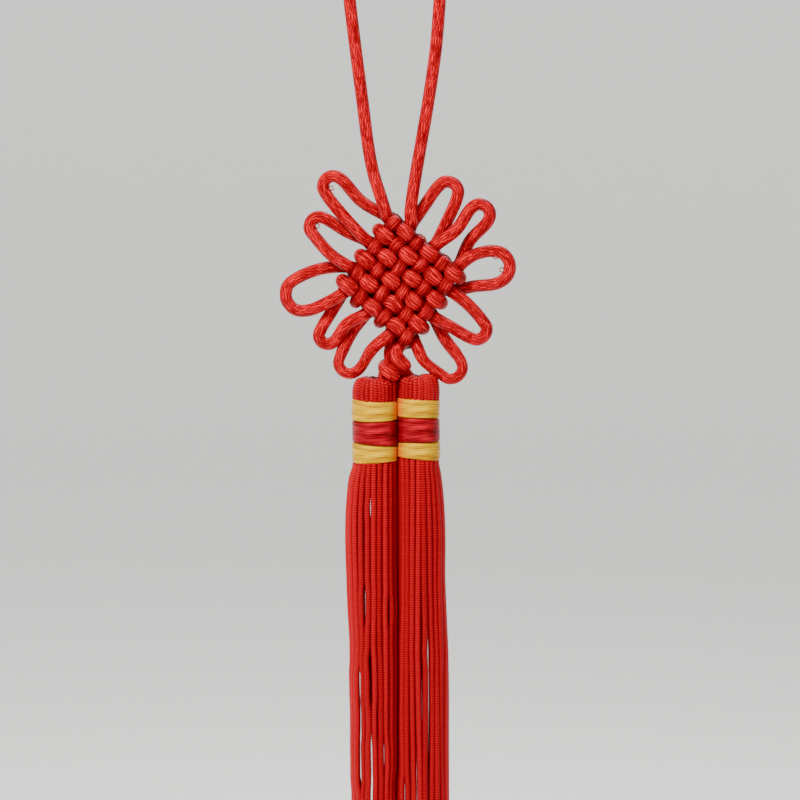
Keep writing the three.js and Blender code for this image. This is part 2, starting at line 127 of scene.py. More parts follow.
# Below the body the left cord runs straight to the right head, and the right cord wraps it twice
LEFT_STEM = [
    (-0.75, 1.1, -100.0), (-1.2, 0.4, -102.0), (-1.3, -0.1, -103.6), (-0.5, -0.1, -105.0),
    (0.9, -0.1, -106.0), (2.4, 0.0, -107.0), (3.5, 0.0, -109.0),
]
RIGHT_STEM = [
    (2.3, 0.7, -100.3), (1.0, 0.1, -101.0), (0.2, -1.0, -102.2), (0.3, -2.2, -103.2),
    (0.9, -2.6, -104.1), (1.7, -1.8, -104.8), (2.0, -0.3, -105.1), (1.5, 1.3, -105.0),
    (0.0, 2.2, -104.8), (-1.6, 1.6, -104.8), (-2.35, 0.2, -105.0), (-2.4, -1.3, -105.4),
    (-1.7, -2.4, -105.9), (-1.0, -2.6, -106.35), (-0.45, -1.9, -106.8), (-0.4, -0.3, -107.1),
    (-0.9, 1.3, -107.0), (-2.0, 1.3, -106.5), (-2.5, 0.5, -107.0), (-2.5, 0.0, -108.0),
    (-2.7, 0.0, -109.2),
]
NECK_TOP = -102.4
NECK_SIZE = {"wrapped": 0.9, "front": 1.16}
NECK_FRONT_DEPTHS = [0.8, 2.3]

# Tiny loops of filament pulled out of the cord: the tip of each, across and down
PULLED_LOOPS = [(19.8, -83.6), (20.8, -85.8), (-12.6, -69.6), (-15.4, -77.3)]
FILAMENT_RADIUS = 0.11
FILAMENT_SIDES = 6
FILAMENT_STEP = 0.12
PULL_FORWARD = 0.5
PULL_TWIST = 0.35

# Tassels: sizes of each, from its head down. The tilt is how far each edge of the bindings rises towards +X
TASSELS = {
    "left": {
        "axis": -4.2, "top": -107.75, "radius": 4.35, "inward": 1, "lean": 0.0,
        "bindings": [(-112.0, -115.85), (-116.15, -120.6), (-120.9, -124.2)],
        "tilts": [-0.3, 0.12, -0.42, 0.2],
    },
    "right": {
        "axis": 4.5, "top": -107.15, "radius": 4.05, "inward": -1, "lean": 0.3,
        "bindings": [(-111.7, -115.2), (-115.5, -120.1), (-120.4, -123.5)],
        "tilts": [-0.3, -0.16, 0.12, -0.36],
    },
}
SEAM = 0.3
SEAM_GAP = 0.02
SEAM_WANDER = 0.16
SEAM_WAVES = {"deep": 1.4, "down": 0.5}
EDGE_WAVE = 0.08
# Painted reflection and shade where the tassels meet: how far it reaches and how strong it is
PAINTED_SEAM_REACH = 1.5
PAINTED_SEAM_SHARE = 0.85
OUTER_PRESS = 1.05
INNER_PRESS = 1.14
HEAD_STRANDS = 32
HEAD_STRAND_SHARE = 0.88
HEAD_INSET = 0.8
HEAD_SEAM_MARGIN = 0.7
HEAD_UNEVENNESS = 0.05
# Head strands' tone: least and random spread, less by painted shade where they face the other tassel
HEAD_TONE_AND_SHADE = {"least": 0.2, "spread": 0.6, "painted_seam_shade": 0.4}
CORE_INSET = 0.55
CORE_DROP = 0.9
CORE_OVERRUN = 0.2
CORE_SIDES = 36
CORE_SHADE = 0.1
STRAND_RADIUS = 0.65
RIB_PITCH = 0.48
RIB_DEPTH = 0.11
STRAND_SIDES = 8
SKIRT_LENGTH = 109.5
SKIRT_DEPTH = 4.4

# Skirt outline: how far it reaches from the tassel's axis towards the outside, by the drop below the bindings
OUTLINE_DROPS = [0.0, 3.4, 8.0, 15.0, 25.0, 42.0, 68.0, 110.0]
OUTER_REACH = {
    "left": [4.2, 5.55, 5.95, 6.2, 5.9, 5.3, 4.75, 4.7],
    "right": [3.9, 4.7, 5.15, 5.5, 5.45, 6.25, 6.5, 6.6],
}
INNER_REACH = {"left": 4.85, "right": 4.4}
OUTER_STRANDS = 22
SKIRT_TURN = {"left": 0.5, "right": 0.0}
INNER_STRANDS = 7
INNER_TURN = 0.3
INNER_RING_SHARE = 0.55
DEPTH_SPREAD = 0.25
END_SPREAD = 1.5
# Skirt strands' tone: least and random spread, plus painted light on the outer sides
STRAND_TONE_AND_LIGHT = {"least": 0.25, "spread": 0.45, "painted_rim_light": 0.3}

# By the drop below the bindings: each strand's points, how far its ring has widened, and how loose it hangs
STRAND_DROPS = [
    -1.2, 0.2, 1.6, 3.5, 6.5, 12.0, 18.0, 24.0, 31.0, 39.0, 47.0, 56.0, 65.0, 75.0, 86.0, 98.0,
]
WIDEN_DROPS = [0.0, 1.6, 8.0]
WIDEN_SHARES = [0.0, 0.7, 1.0]
LOOSE_DROPS = [0.0, 6.0, 60.0, 110.0]
LOOSE_SHARES = [0.0, 0.3, 1.0, 1.3]

# Drift that neighbours share: size, waves across and run down. Sway of each strand: size and run down
SIDEWAYS_DRIFT = [(0.16, 0.8, 17.0), (0.08, 1.7, -12.0)]
SWAY_ACROSS = (0.07, 9.0)
SWAY_DEEP = (0.2, 15.0)

# Slits where the strands part: across, top, bottom and width
SLITS = [
    (-5.4, -132.6, -134.8, 0.13), (-6.0, -149.6, -156.4, 0.24), (-1.2, -152.0, -156.6, 0.22),
    (6.2, -161.0, -164.0, 0.16), (-5.7, -163.0, -173.0, 0.3), (-7.3, -166.4, -190.0, 0.42),
    (-5.0, -181.0, -200.0, 0.27), (-2.2, -181.0, -187.0, 0.22), (1.6, -189.0, -205.0, 0.26),
    (4.6, -200.0, -214.0, 0.3), (-3.4, -204.0, -222.0, 0.36), (7.8, -206.0, -226.0, 0.36),
]
SLIT_REACH = 2.0
SLIT_OVERRUN = 2.5
SLIT_FADE = 4.0

# Wound thread: how far it laps past its edges and how the turns, lumps and edges shape it
THREAD_SIDES = 96
ROWS_PER_TURN = 6
THREAD_LAP = 0.1
THREAD_INSET = 0.02
TURN_CROWN = 0.07
TURN_WANDER = (0.18, 0.14)
LUMPS = (0.05, 0.03)
EDGE_ROUNDING = 0.3
EDGE_DIP = (0.12, 0.08)
EDGE_DIP_SHARE = 0.6
TUCKED_SHARE = 0.86
TUCKED_LENGTH = 0.5

# Stage, lights and world. The floor's rings go from its middle outwards
FLOOR_Z = -300.0
FLOOR_RINGS = (0.01, 700.0, 1300.0)
FLOOR_RADIUS = 1900.0
WALL_BEND = 900.0
WALL_TOP = 900.0
BEND_STEPS = 12
STAGE_SIDES = 96
PAPER_COLOUR = (0.80, 0.80, 0.78)
PAPER_ROUGHNESS = 0.9
PAPER_GLOW_COLOUR = (1.0, 1.0, 0.98)
PAPER_GLOW = 0.62
LIGHT_AIM = (0.0, 0.0, -120.0)
WORLD_COLOUR = (0.86, 0.88, 0.92)
WORLD_STRENGTH = 0.10


# Routes


def lengths_along(path):
    """The length of the path up to each of its points."""
    return np.concatenate([[0.0], np.cumsum(np.linalg.norm(np.diff(path, axis=0), axis=1))])


def smooth_route(points, step):
    """Even points along a centripetal Catmull-Rom curve through the given points."""
    points = np.asarray(points, dtype=float)
    points = np.vstack([2 * points[0] - points[1], points, 2 * points[-1] - points[-2]])
    pieces = []
    for p0, p1, p2, p3 in zip(points, points[1:], points[2:], points[3:]):
        spans = [np.linalg.norm(b - a) for a, b in ((p0, p1), (p1, p2), (p2, p3))]
        t0, t1, t2, t3 = np.concatenate([[0.0], np.cumsum(np.sqrt(spans))])
        t = np.linspace(t1, t2, SAMPLES_PER_SPAN, endpoint=False)[:, None]
        a1 = (t1 - t) / (t1 - t0) * p0 + (t - t0) / (t1 - t0) * p1
        a2 = (t2 - t) / (t2 - t1) * p1 + (t - t1) / (t2 - t1) * p2
        a3 = (t3 - t) / (t3 - t2) * p2 + (t - t2) / (t3 - t2) * p3
        b1 = (t2 - t) / (t2 - t0) * a1 + (t - t0) / (t2 - t0) * a2
        b2 = (t3 - t) / (t3 - t1) * a2 + (t - t1) / (t3 - t1) * a3
        pieces.append((t2 - t) / (t2 - t1) * b1 + (t - t1) / (t2 - t1) * b2)
    dense = np.vstack(pieces + [points[-2]])
    lengths = lengths_along(dense)
    count = max(2, int(round(lengths[-1] / step)) + 1)
    even = np.linspace(0.0, lengths[-1], count)
    return np.column_stack([np.interp(even, lengths, dense[:, k]) for k in range(3)])


def cord_frames(path):
    """Two unit directions across the path at each of its points, turning as little as they can."""
    tangents = np.gradient(path, axis=0)
    tangents /= np.linalg.norm(tangents, axis=1)[:, None]
    side = np.cross(tangents[0], (0.0, 1.0, 0.0))
    if np.linalg.norm(side) < 0.1:
        side = np.cross(tangents[0], (1.0, 0.0, 0.0))
    sides = [side / np.linalg.norm(side)]
    for tangent in tangents[1:]:
        side = sides[-1] - tangent * np.dot(sides[-1], tangent)
        sides.append(side / np.linalg.norm(side))
    sides = np.array(sides)
    return sides, np.cross(tangents, sides)


def tube_rings(path, radii, sides_count):
    """The rings of a round tube: an array of path points by sides by three."""
    sides, ups = cord_frames(path)
    angles = np.linspace(0.0, 2 * math.pi, sides_count, endpoint=False)
    radii = np.broadcast_to(np.asarray(radii, dtype=float), (len(path),))
    cosines = np.cos(angles)[None, :, None]
    sines = np.sin(angles)[None, :, None]
    across = cosines * sides[:, None, :] + sines * ups[:, None, :]
    return path[:, None, :] + radii[:, None, None] * across


# Meshes


def ring_faces(rows, columns, start):
    """Quads between neighbouring rings, with their UV columns and rows."""
    i, j = np.meshgrid(np.arange(rows - 1), np.arange(columns), indexing="ij")
    i, j = i.ravel(), j.ravel()
    following = (j + 1) % columns
    faces = np.column_stack([i * columns + j, i * columns + following, (i + 1) * columns + following,
                             (i + 1) * columns + j]) + start
    places = np.stack([np.column_stack([i, j]), np.column_stack([i, j + 1]), np.column_stack([i + 1, j + 1]),
                       np.column_stack([i + 1, j])], axis=1)
    return faces, places


def mesh_piece(name, tubes, material, node=None):
    """One object from tubes of rings in millimetres. Each tube is a dict of its rings, lengths and a value
    per ring or point that holds the cord's own tone together with painted shade and painted light.
    """
    points, quads, uvs, tone_and_light_values, caps = [], [], [], [], []
    start = 0
    for tube in tubes:
        rings = tube["rings"]
        rows, columns, _ = rings.shape
        faces, places = ring_faces(rows, columns, start)
        lengths = tube["lengths"]
        points.append(rings.reshape(-1, 3))
        quads.append(faces)
        uvs.append(np.stack([lengths[places[..., 0]] * MM, places[..., 1] / columns], axis=-1).reshape(-1, 2))
        tone_and_light_values.append(np.broadcast_to(tube["tone_and_painted_light"], (rows, columns)).ravel())
        if tube.get("capped", True):
            caps.append([start + k for k in range(columns)][::-1])
            caps.append([start + (rows - 1) * columns + k for k in range(columns)])
        start += rows * columns
    quads = np.vstack(quads)
    mesh = bpy.data.meshes.new(name)
    mesh.from_pydata((np.vstack(points) * MM).tolist(), [], quads.tolist() + caps)
    mesh.polygons.foreach_set("use_smooth", np.ones(len(mesh.polygons), dtype=bool))
    layer = mesh.uv_layers.new(name="cord_uv")
    flat = np.zeros((len(mesh.loops), 2))
    flat[:len(quads) * 4] = np.concatenate(uvs)
    layer.data.foreach_set("uv", flat.ravel())
    # A point attribute that the materials read: the cord's own tone, painted shade and painted light
    tone_and_painted_light = mesh.attributes.new("tone_and_painted_light", "FLOAT", "POINT")
    tone_and_painted_light.data.foreach_set("value", np.concatenate(tone_and_light_values))
    mesh.materials.append(material)
    piece = bpy.data.objects.new(name, mesh)
    bpy.context.scene.collection.objects.link(piece)
    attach(piece, "root")
    if node:
        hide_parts(node)
    return piece


# Materials


class Nodes:
    """A small helper that adds nodes to a material and links them."""

    def __init__(self, name):
        self.material = bpy.data.materials.new(name)
        self.material.use_nodes = True
        self.tree = self.material.node_tree
        self.shader = self.tree.nodes["Principled BSDF"]

    def add(self, kind, **settings):
        node = self.tree.nodes.new(kind)
        for key, value in settings.items():
            setattr(node, key, value)
        return node

    def link(self, output, socket):
        self.tree.links.new(output, socket)

    def math(self, operation, first, second=None, third=None):
        node = self.add("ShaderNodeMath", operation=operation)
        for socket, value in zip(node.inputs, (first, second, third)):
            if value is None:
                continue
            if isinstance(value, (int, float)):
                socket.default_value = value
            else:
                self.link(value, socket)
        return node.outputs[0]

    def choose(self, factor, first, second):
        """first where the factor is 0 and second where it is 1."""
        return self.math("ADD", self.math("MULTIPLY", second, factor),
                         self.math("MULTIPLY", first, self.math("SUBTRACT", 1.0, factor)))

    def colour_ramp(self, factor, stops):
        ramp = self.add("ShaderNodeValToRGB")
        self.link(factor, ramp.inputs[0])
        while len(ramp.color_ramp.elements) < len(stops):
            ramp.color_ramp.elements.new(0.5)
        for element, (position, colour) in zip(ramp.color_ramp.elements, stops):
            element.position = position
            element.color = (*colour, 1.0)
        return ramp.outputs[0]

    def stretched_noise(self, along, around, per_metre, per_turn, detail=2.0):
        """Noise with a set number of changes for each metre along the cord and each turn round it."""
        place = self.combine(self.math("MULTIPLY", along, per_metre), self.math("MULTIPLY", around, per_turn))
        return self.noise(place, detail)

    def noise(self, vector, detail=2.0):
        node = self.add("ShaderNodeTexNoise")
        node.inputs["Scale"].default_value = 1.0
        node.inputs["Detail"].default_value = detail
        self.link(vector, node.inputs["Vector"])
        return node.outputs[0]

    def cell_value(self, x, y):
        """A random value for each whole-number place."""
        node = self.add("ShaderNodeTexWhiteNoise", noise_dimensions="2D")
        self.link(self.combine(x, y), node.inputs["Vector"])
        return node.outputs["Value"]

    def combine(self, x, y):
        node = self.add("ShaderNodeCombineXYZ")
        self.link(x, node.inputs[0])
        self.link(y, node.inputs[1])
        return node.outputs[0]

    def along_and_around(self):
        uv = self.add("ShaderNodeUVMap", uv_map="cord_uv")
        parts = self.add("ShaderNodeSeparateXYZ")
        self.link(uv.outputs[0], parts.inputs[0])
        return parts.outputs[0], parts.outputs[1]

    def bump(self, height, strength, distance):
        node = self.add("ShaderNodeBump")
        node.inputs["Strength"].default_value = strength
        node.inputs["Distance"].default_value = distance
        self.link(height, node.inputs["Height"])
        self.link(node.outputs[0], self.shader.inputs["Normal"])

    def satin(self, roughness, gloss, sheen, gloss_tint, anisotropy):
        self.shader.inputs["Roughness"].default_value = roughness
        self.shader.inputs["Specular IOR Level"].default_value = gloss
        self.shader.inputs["Specular Tint"].default_value = (*gloss_tint, 1.0)
        self.shader.inputs["Sheen Weight"].default_value = sheen
        self.shader.inputs["Sheen Roughness"].default_value = 0.4
        self.shader.inputs["Sheen Tint"].default_value = (*gloss_tint, 1.0)
        self.shader.inputs["Anisotropic"].default_value = anisotropy
        tangent = self.add("ShaderNodeTangent", direction_type="UV_MAP", uv_map="cord_uv")
        self.link(tangent.outputs[0], self.shader.inputs["Tangent"])


def braided_cord_material():
    """Satin cord: carriers that cross in long diamonds, with short filament glints along each carrier painted
    into the colour as highlights, and painted shade in the grooves between carriers.
    """
    carriers = 14.0
    diamond_length = 2.3 * MM
    wander_size = 1.1
    glints_across = 5.0
    glints_along = 1.1
    painted_glint_share = 0.85
    yarn_painted_shading = 0.28
    diamond_share = 0.2
    nodes = Nodes("satin_cord")
    along, around = nodes.along_and_around()
    wander = nodes.stretched_noise(along, around, per_metre=700.0, per_turn=5.0)
    turns = nodes.math("MULTIPLY", around, carriers)
    run = nodes.math("MULTIPLY_ADD", wander, wander_size, nodes.math("DIVIDE", along, diamond_length))
    p = nodes.math("ADD", turns, run)
    q = nodes.math("SUBTRACT", turns, run)
    p_cell = nodes.math("FLOOR", p)
    q_cell = nodes.math("FLOOR", q)
    over = nodes.math("FLOORED_MODULO", nodes.math("ADD", p_cell, q_cell), 2.0)
    crown_p = nodes.math("SINE", nodes.math("MULTIPLY", nodes.math("FRACT", p), math.pi))
    crown_q = nodes.math("SINE", nodes.math("MULTIPLY", nodes.math("FRACT", q), math.pi))
    crown = nodes.math("POWER", nodes.choose(over, crown_p, crown_q), 0.6)
    swell = nodes.choose(over, crown_q, crown_p)
    yarn = nodes.math("MULTIPLY", crown, nodes.math("MULTIPLY_ADD", swell, 0.45, 0.55))
    # Painted highlights: short filament glints that make light flecks in the base colour
    glint_across = nodes.math("MULTIPLY", nodes.choose(over, p, q), glints_across)
    glint_along = nodes.math("MULTIPLY", nodes.choose(over, q, p), glints_along)
    glints = nodes.noise(nodes.combine(glint_across, glint_along))
    height = nodes.math("MULTIPLY_ADD", glints, 0.6, yarn)
    # The point attribute carries painted shade that darkens the dips and the middle of the body
    painted_body_shade = nodes.add("ShaderNodeAttribute", attribute_name="tone_and_painted_light").outputs["Fac"]
    # Painted light and shade: lighter on the crowns of the carriers and darker in the grooves between them
    shade = nodes.math("MULTIPLY_ADD", glints, painted_glint_share, nodes.math("MULTIPLY", yarn, yarn_painted_shading))
    shade = nodes.math("MULTIPLY_ADD", nodes.cell_value(p_cell, q_cell), diamond_share, shade)
    colour = nodes.colour_ramp(nodes.math("MULTIPLY", shade, painted_body_shade), [
        (0.1, (0.016, 0.0001, 0.0004)), (0.5, (0.13, 0.0002, 0.002)), (0.68, (0.27, 0.0004, 0.005)),
        (0.92, (0.80, 0.009, 0.018)),
    ])
    nodes.link(colour, nodes.shader.inputs["Base Color"])
    nodes.bump(height, strength=0.9, distance=0.12 * MM)
    nodes.satin(roughness=0.44, gloss=0.22, sheen=0.01, gloss_tint=(1.0, 0.06, 0.03), anisotropy=0.2)
    return nodes.material


def tassel_cord_material():
    """Thin ribbed cord: fine ribs across it with painted shade in their grooves, a slight change of red from
    strand to strand, and painted shade and light for some strands.
    """
    base_shade = 0.24
    rib_painted_shade = 0.2
    fibre_share = 0.35
    strand_share = 0.35
    nodes = Nodes("tassel_cord")
    along, around = nodes.along_and_around()
    ribs = nodes.math("SINE", nodes.math("MULTIPLY", along, 2 * math.pi / (RIB_PITCH * MM)))
    fibres = nodes.stretched_noise(along, around, per_metre=1500.0, per_turn=9.0)
    tone_and_painted_light = nodes.add("ShaderNodeAttribute", attribute_name="tone_and_painted_light")
    # Painted shade: the colour follows the ribs, darker in each groove
    shade = nodes.math("MULTIPLY_ADD", ribs, rib_painted_shade, base_shade)
    shade = nodes.math("MULTIPLY_ADD", fibres, fibre_share, shade)
    # The point attribute adds each strand's own tone and its painted shade or painted light
    shade = nodes.math("MULTIPLY_ADD", tone_and_painted_light.outputs["Fac"], strand_share, shade)
    colour = nodes.colour_ramp(shade, [
        (0.15, (0.07, 0.0001, 0.0012)), (0.5, (0.22, 0.0002, 0.004)), (0.9, (0.50, 0.0008, 0.010)),
    ])
    nodes.link(colour, nodes.shader.inputs["Base Color"])
    nodes.bump(fibres, strength=0.4, distance=0.05 * MM)
    nodes.satin(roughness=0.50, gloss=0.25, sheen=0.03, gloss_tint=(1.0, 0.08, 0.05), anisotropy=0.2)
    return nodes.material


def thread_material(name, stops, painted_seam_colour, roughness, gloss_tint):
    """Wound floss: filaments that run along the turns, with a colour painted in where the tassels meet:
    reflected red on the yellow thread, shade on the red thread.
    """
    filament_share = 0.6
    patch_share = 0.4
    nodes = Nodes(name)
    along, around = nodes.along_and_around()
    filaments = nodes.stretched_noise(along, around, per_metre=9000.0, per_turn=6.0, detail=3.0)
    patches = nodes.stretched_noise(along, around, per_metre=900.0, per_turn=4.0)
    patch_part = nodes.math("MULTIPLY", patches, patch_share)
    shade = nodes.math("MULTIPLY_ADD", filaments, filament_share, patch_part)
    mix = nodes.add("ShaderNodeMix", data_type="RGBA")
    near_seam = nodes.add("ShaderNodeAttribute", attribute_name="tone_and_painted_light")
    nodes.link(near_seam.outputs["Fac"], mix.inputs["Factor"])
    nodes.link(nodes.colour_ramp(shade, stops), mix.inputs["A"])
    # Painted reflection or shade, mixed in near the seam between the tassels
    mix.inputs["B"].default_value = (*painted_seam_colour, 1.0)
    nodes.link(mix.outputs["Result"], nodes.shader.inputs["Base Color"])
    nodes.bump(filaments, strength=0.6, distance=0.06 * MM)
    nodes.satin(roughness, gloss=0.3, sheen=0.0, gloss_tint=gloss_tint, anisotropy=0.7)
    return nodes.material


# Camera, stage and light


def camera():
    """The photo's view: aimed at the tops of the tassels from a little above."""
    lens = SENSOR_WIDTH * CAMERA_DISTANCE / (PHOTO_PIXELS * MM_PER_PIXEL)
    data = bpy.data.cameras.new("photo_camera")
    data.lens = lens
    data.sensor_width = SENSOR_WIDTH
    data.clip_start = CLIP_START_M
    view = bpy.data.objects.new("photo_camera", data)
    elevation = math.radians(CAMERA_ELEVATION)
    aim = Vector(CAMERA_AIM) * MM
    offset = Vector((0.0, -math.cos(elevation), math.sin(elevation))) * CAMERA_DISTANCE * MM
    view.location = aim + offset
    view.rotation_euler = (-offset).to_track_quat("-Z", "Y").to_euler()
    bpy.context.scene.collection.objects.link(view)
    bpy.context.scene.camera = view


def stage():
    """A pale floor below the tassels that curves up into a low round wall, the same from every side."""
    profile = [(radius, FLOOR_Z) for radius in FLOOR_RINGS]
    for k in range(BEND_STEPS + 1):
        angle = math.radians(90.0 * k / BEND_STEPS)
        profile.append((FLOOR_RADIUS + WALL_BEND * math.sin(angle),
                        FLOOR_Z + WALL_BEND - WALL_BEND * math.cos(angle)))
    profile.append((FLOOR_RADIUS + WALL_BEND, WALL_TOP))
    angles = [2 * math.pi * k / STAGE_SIDES for k in range(STAGE_SIDES)]
    points = [(r * math.cos(t) * MM, r * math.sin(t) * MM, z * MM) for r, z in profile for t in angles]
    faces, _ = ring_faces(len(profile), STAGE_SIDES, 0)
    mesh = bpy.data.meshes.new("backdrop")
    mesh.from_pydata(points, [], faces.tolist())
    mesh.polygons.foreach_set("use_smooth", np.ones(len(faces), dtype=bool))
    paper = Nodes("backdrop_paper")
    paper.shader.inputs["Base Color"].default_value = (*PAPER_COLOUR, 1.0)
    paper.shader.inputs["Roughness"].default_value = PAPER_ROUGHNESS
    paper.shader.inputs["Emission Color"].default_value = (*PAPER_GLOW_COLOUR, 1.0)
    paper.shader.inputs["Emission Strength"].default_value = PAPER_GLOW
    mesh.materials.append(paper.material)
    backdrop = bpy.data.objects.new("backdrop", mesh)
    bpy.context.scene.collection.objects.link(backdrop)


def area_light(name, place, size, power, colour):
    """A square light that faces the middle of the ornament."""
    data = bpy.data.lights.new(name, "AREA")
    data.size = size * MM
    data.energy = power
    data.color = colour
    light = bpy.data.objects.new(name, data)
    light.location = Vector(place) * MM
    light.rotation_euler = (Vector(LIGHT_AIM) - Vector(place)).to_track_quat("-Z", "Y").to_euler()
    bpy.context.scene.collection.objects.link(light)


def lights():
    """A soft key light from the upper left, a weak fill, a light from behind and a dim pale room."""
    area_light("key", place=(-260.0, -360.0, 400.0), size=220.0, power=10.5, colour=(1.0, 0.98, 0.95))
    area_light("fill", place=(420.0, -420.0, -60.0), size=400.0, power=0.9, colour=(0.95, 0.97, 1.0))
    area_light("back", place=(120.0, 330.0, 260.0), size=300.0, power=1.8, colour=(1.0, 1.0, 1.0))
    world = bpy.data.worlds.new("soft_room")
    world.use_nodes = True
    background = world.node_tree.nodes["Background"]
    background.inputs["Color"].default_value = (*WORLD_COLOUR, 1.0)
    background.inputs["Strength"].default_value = WORLD_STRENGTH
    bpy.context.scene.world = world


# Knotting cord


def body_coordinates(points):
    """The lattice place (a, b) of each point, seen from the front."""
    basis = np.column_stack([STEP_A, STEP_B])
    return np.linalg.solve(basis, (points[:, [0, 2]] - BODY_CENTRE).T).T + (LINES + 1) / 2


def lattice_point(direction, line, along, depth):
    """A point in the body: on a line of one direction, at a place along it and at a depth."""
    a, b = (line, along) if direction == "a" else (along, line)
    middle = (LINES + 1) / 2
    x, z = BODY_CENTRE + (a - middle) * STEP_A + (b - middle) * STEP_B
    return (x, depth, z)


def strand_depth(direction, line, along):
    """How far a strand lies from the middle layer as it goes over and under the lines that it crosses."""
    swing = (OUTER_DEPTH[direction] - INNER_DEPTH) / 2
    return INNER_DEPTH + swing + swing * math.cos(math.pi * (along - line - PARITY[direction]))


def line_pass(end, layer):
    """A line's two strands: in at the exit on one layer, round the far edge, and back on the other layer."""
    direction, line, side = end
    exit_line, far_line = (1, LINES) if side == "first" else (LINES, 1)
    sign = 1 if far_line > exit_line else -1
    steps = [exit_line + sign * k / 2 for k in range(2 * (LINES - 1) + 1)]
    there = [lattice_point(direction, line, along, layer * strand_depth(direction, line, along))
             for along in steps]
    shifts = rng.uniform(-HAND_SHIFT, HAND_SHIFT, (2, len(there), 2))
    turn = []
    reach = TURN_REACH[direction, far_line]
    for degrees in TURN_DEGREES:
        angle = math.radians(degrees)
        turn.append(lattice_point(direction, line, far_line + sign * reach * math.sin(angle),
                                  layer * OUTER_DEPTH[direction] * math.cos(angle)))
    back = [(x, -y, z) for x, y, z in reversed(there)]
    there, back = ([(x + dx, y, z + dz) for (x, y, z), (dx, dz) in zip(strand, shift)]
                   for strand, shift in zip((there, back), shifts))
    return there + turn + back


def line_end(end, depth):
    """Where a line's strand leaves the body."""
    direction, line, side = end
    return np.array(lattice_point(direction, line, FIRST_EDGE if side == "first" else LAST_EDGE, depth))


def ear_points(row):
    """An ear from one line's exit to the next, round its tip circle."""
    ear = dict(zip(EAR_COLUMNS, row))
    start = line_end(ear["start"], ear["start_layer"] * EXIT_DEPTH)
    end = line_end(ear["end"], ear["end_layer"] * EXIT_DEPTH)
    tip = np.array([ear["tip_x"], 0.0, ear["tip_z"]])
    base = (start + end) / 2 * (1, 0, 1)
    axis = (tip - base) / np.linalg.norm(tip - base)
    side = np.array([axis[2], 0.0, -axis[0]])
    if np.dot(side, start - base) < 0:
        side = -side
    tips = [tip + ear["tip_radius"] * (math.cos(math.radians(t)) * axis + math.sin(math.radians(t)) * side)
            for t in TIP_ANGLES]

    def leg(exit_point, shoulder, bow):
        middle = (exit_point + shoulder) / 2 + bow * side
        middle[1] = exit_point[1] * LEG_DEPTH_SHARE
        return middle

    return [start, leg(start, tips[0], ear["bow_start"]), *tips, leg(end, tips[-1], -ear["bow_end"]), end]


def knot_points(entry, first_end, first_layer, ears, stem):
    """One half of the cord: in above the body, through its lines and ears, and out at its stem."""
    points = [*entry, line_end(first_end, first_layer * EXIT_DEPTH), *line_pass(first_end, first_layer)]
    for row in ears:
        ear = dict(zip(EAR_COLUMNS, row))
        points += ear_points(row)
        points += line_pass(ear["end"], ear["end_layer"])
    last = dict(zip(EAR_COLUMNS, ears[-1]))
    points.append(line_end(last["end"], -last["end_layer"] * EXIT_DEPTH))
    return [tuple(p) for p in points] + stem


def pressed_rings(path):
    """The cord's rings: pressed flat in the body, wide where it dips under and plump where it lies on top.
    Also a painted shade for each ring, darkest where the cord dips under.
    """
    rings = tube_rings(path, CORD_DIAMETER / 2, CORD_SIDES)
    place = body_coordinates(path)
    # The share of pressing, which fades from 1 to 0 over half a line across the body's edge
    outside = np.max(np.abs(place - (LINES + 1) / 2), axis=1) - LINES / 2
    inside = np.clip(0.5 - outside / 0.5, 0.0, 1.0)
    # The bumps of the two directions swell by their own amounts
    run = np.gradient(place, axis=0)
    plump = np.where(np.abs(run[:, 1]) > np.abs(run[:, 0]), BUMP_SWELL["a"], BUMP_SWELL["b"])
    height = np.clip((np.abs(path[:, 1]) - INNER_DEPTH) / (OUTER_DEPTH["a"] - INNER_DEPTH), 0.0, 1.0)
    tangents = np.gradient(path, axis=0)
    steepness = np.abs(tangents[:, 1]) / np.linalg.norm(tangents, axis=1)
    at_turn = np.clip((steepness - TURN_STEEPNESS) / TURN_STEEPNESS_RANGE, 0.0, 1.0)
    height = np.maximum(height, at_turn)
    swell = np.interp(height, SWELL_HEIGHTS, SWELL_SHARES) * np.where(height > 0.5, plump, 1.0)
    neck = np.clip(NECK_TOP - path[:, 2], 0.0, 1.0)
    neck_size = np.interp(-path[:, 1], NECK_FRONT_DEPTHS, [NECK_SIZE["wrapped"], NECK_SIZE["front"]])
    offset = (rings - path[:, None, :]) * (1 + neck * (neck_size - 1))[:, None, None]
    offset[..., 1] *= (1 + inside * (BODY_FLATTEN - 1))[:, None]
    offset[..., 0] *= (1 + inside * (swell - 1))[:, None]
    offset[..., 2] *= (1 + inside * (swell - 1))[:, None]
    # Painted shade: the cord's colour darkens where it dips under the crossing strands in the body
    shade = 1 - DIP_SHADE * inside * (1 - height) ** DIP_SHADE_POWER
    return path[:, None, :] + offset, shade[:, None]


